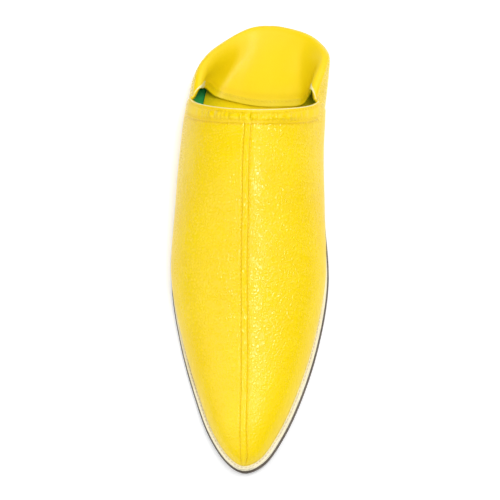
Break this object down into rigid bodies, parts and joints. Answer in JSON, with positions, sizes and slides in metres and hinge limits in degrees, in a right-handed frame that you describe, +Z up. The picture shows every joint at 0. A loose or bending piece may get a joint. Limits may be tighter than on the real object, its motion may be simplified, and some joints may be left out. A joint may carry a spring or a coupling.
{
  "type": "babouche slipper",
  "caption": "Pointed yellow leather babouche with an open collar, folded-down back, centre seam and flat leather sole.",
  "frame": {"origin": "centre of the bounding box, at the ground under the sole", "axes": "+Z up, -Y towards the toe, +X towards the inner side of the foot"},
  "size_m": [0.0974, 0.2908, 0.063],
  "materials": {
    "yellow_leather": "satin",
    "natural_leather": "matte",
    "dark_sole": "matte"
  },
  "bodies": {
    "root": {"outsole": "dark_sole", "midsole": "natural_leather", "insole": "yellow_leather", "upper": "yellow_leather"}
  },
  "joints": []
}
